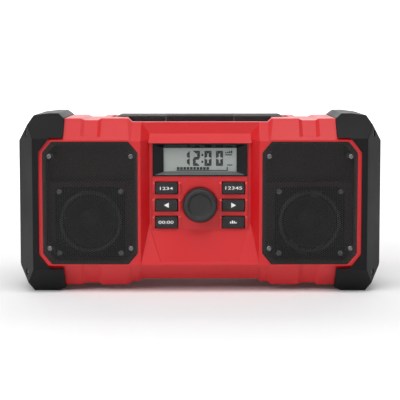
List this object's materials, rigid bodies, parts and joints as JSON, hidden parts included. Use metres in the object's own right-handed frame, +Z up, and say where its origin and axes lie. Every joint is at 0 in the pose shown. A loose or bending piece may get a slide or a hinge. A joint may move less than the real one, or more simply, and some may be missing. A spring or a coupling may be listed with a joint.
{
  "type": "jobsite radio",
  "caption": "Rugged jobsite radio with twin grilled speakers, a recessed control panel, a top carry handle, bumper end caps and a rear battery bay.",
  "frame": {"origin": "middle of the footprint, on the surface that the radio stands on", "axes": "+X to the right seen from the front, -Y is the front, +Z up"},
  "size_m": [0.4, 0.165, 0.196],
  "materials": {
    "red_plastic": "moulded, fine grain, satin",
    "black_plastic": "moulded, fine grain",
    "soft_rubber": "overmoulded, matt",
    "key_rubber": "silicone, satin",
    "black_steel": "powder coated perforated sheet",
    "screw_steel": "zinc plated",
    "bare_steel": "plain",
    "paper_cone": "pressed paper",
    "spider_cloth": "woven, resin soaked",
    "copper_wire": "enamelled copper",
    "clear_lens": "clear polycarbonate",
    "display_glass": "reflective liquid crystal display",
    "board": "glass fibre circuit board",
    "aluminium": "extruded",
    "ferrite": "sintered ferrite",
    "cell_wrap": "shrink wrap on steel cells"
  },
  "bodies": {
    "housing": {"front_housing": "red_plastic", "rear_housing": "red_plastic", "end_cap_left": "black_plastic", "end_cap_right": "black_plastic", "end_cap_screws": "screw_steel", "housing_screws": "screw_steel", "handle_frame": "black_plastic", "handle_grip": "soft_rubber", "handle_screws": "screw_steel", "grille_left": "black_steel", "grille_right": "black_steel", "grille_screws": "screw_steel", "speaker_frame_left": "black_plastic", "speaker_frame_right": "black_plastic", "surround_left": "soft_rubber", "surround_right": "soft_rubber", "spider_left": "spider_cloth", "spider_right": "spider_cloth", "magnet_left": "bare_steel", "magnet_right": "bare_steel", "speaker_screws": "screw_steel", "lcd_bezel": "black_plastic", "lcd_lens": "clear_lens", "lcd_module": "display_glass", "keypad": "key_rubber", "encoder_body": "bare_steel", "control_board": "board", "main_board": "board", "board_screws": "screw_steel", "heat_sink": "aluminium", "tuner_shield": "bare_steel", "ferrite_antenna": "ferrite", "battery_dock": "black_plastic", "dock_terminals": "copper_wire", "aux_door_pin": "bare_steel", "aux_panel": "black_plastic", "dc_jack": "black_plastic"},
    "knob_plunger": {"encoder_plunger": "copper_wire"},
    "tuning_knob": {"knob": "soft_rubber", "encoder_shaft": "bare_steel"},
    "battery_pack": {"battery_case": "black_plastic", "battery_cells": "cell_wrap"},
    "pack_latch_left": {"battery_latch_left": "red_plastic"},
    "pack_latch_right": {"battery_latch_right": "red_plastic"},
    "socket_door": {"aux_door": "black_plastic", "aux_door_seal": "soft_rubber"},
    "power_cap": {"dc_jack_cap": "soft_rubber"},
    "speaker_cone_left": {"cone_left": "paper_cone", "dust_cap_left": "paper_cone", "voice_coil_left": "copper_wire"},
    "button_top_left": {"key_top_left": "key_rubber"},
    "button_mid_left": {"key_mid_left": "key_rubber"},
    "button_low_left": {"key_low_left": "key_rubber"},
    "speaker_cone_right": {"cone_right": "paper_cone", "dust_cap_right": "paper_cone", "voice_coil_right": "copper_wire"},
    "button_top_right": {"key_top_right": "key_rubber"},
    "button_mid_right": {"key_mid_right": "key_rubber"},
    "button_low_right": {"key_low_right": "key_rubber"}
  },
  "joints": [
    {"name": "knob_press", "type": "slide", "parent": "housing", "child": "knob_plunger", "axis": [0, 1, 0], "range_m": [0, 0.0008], "stiffness_N_per_m": 1500},
    {"name": "knob_turn", "type": "hinge", "parent": "knob_plunger", "child": "tuning_knob", "pos_m": [0, -0.07, 0.0962], "axis": [0, -1, 0], "continuous": true},
    {"name": "press_top_left", "type": "slide", "parent": "housing", "child": "button_top_left", "axis": [0, 1, 0], "range_m": [0, 0.0012], "stiffness_N_per_m": 800},
    {"name": "press_mid_left", "type": "slide", "parent": "housing", "child": "button_mid_left", "axis": [0, 1, 0], "range_m": [0, 0.0012], "stiffness_N_per_m": 800},
    {"name": "press_low_left", "type": "slide", "parent": "housing", "child": "button_low_left", "axis": [0, 1, 0], "range_m": [0, 0.0012], "stiffness_N_per_m": 800},
    {"name": "press_top_right", "type": "slide", "parent": "housing", "child": "button_top_right", "axis": [0, 1, 0], "range_m": [0, 0.0012], "stiffness_N_per_m": 800},
    {"name": "press_mid_right", "type": "slide", "parent": "housing", "child": "button_mid_right", "axis": [0, 1, 0], "range_m": [0, 0.0012], "stiffness_N_per_m": 800},
    {"name": "press_low_right", "type": "slide", "parent": "housing", "child": "button_low_right", "axis": [0, 1, 0], "range_m": [0, 0.0012], "stiffness_N_per_m": 800},
    {"name": "cone_stroke_left", "type": "slide", "parent": "housing", "child": "speaker_cone_left", "axis": [0, -1, 0], "range_m": [-0.0015, 0.0015], "stiffness_N_per_m": 2000, "deforming": ["surround_left", "spider_left"]},
    {"name": "cone_stroke_right", "type": "slide", "parent": "housing", "child": "speaker_cone_right", "axis": [0, -1, 0], "range_m": [-0.0015, 0.0015], "stiffness_N_per_m": 2000, "deforming": ["surround_right", "spider_right"]},
    {"name": "pack_slide", "type": "slide", "parent": "housing", "child": "battery_pack", "axis": [0, 0, 1], "range_m": [0, 0.07]},
    {"name": "latch_press_left", "type": "slide", "parent": "battery_pack", "child": "pack_latch_left", "axis": [1, 0, 0], "range_m": [0, 0.0025], "stiffness_N_per_m": 1500},
    {"name": "latch_press_right", "type": "slide", "parent": "battery_pack", "child": "pack_latch_right", "axis": [-1, 0, 0], "range_m": [0, 0.0025], "stiffness_N_per_m": 1500},
    {"name": "socket_door_hinge", "type": "hinge", "parent": "housing", "child": "socket_door", "pos_m": [-0.105, 0.0765, 0.0692], "axis": [-1, 0, 0], "range_deg": [0, 100]},
    {"name": "power_cap_hinge", "type": "hinge", "parent": "housing", "child": "power_cap", "pos_m": [0.105, 0.0806, 0.0695], "axis": [1, 0, 0], "range_deg": [0, 120]}
  ]
}
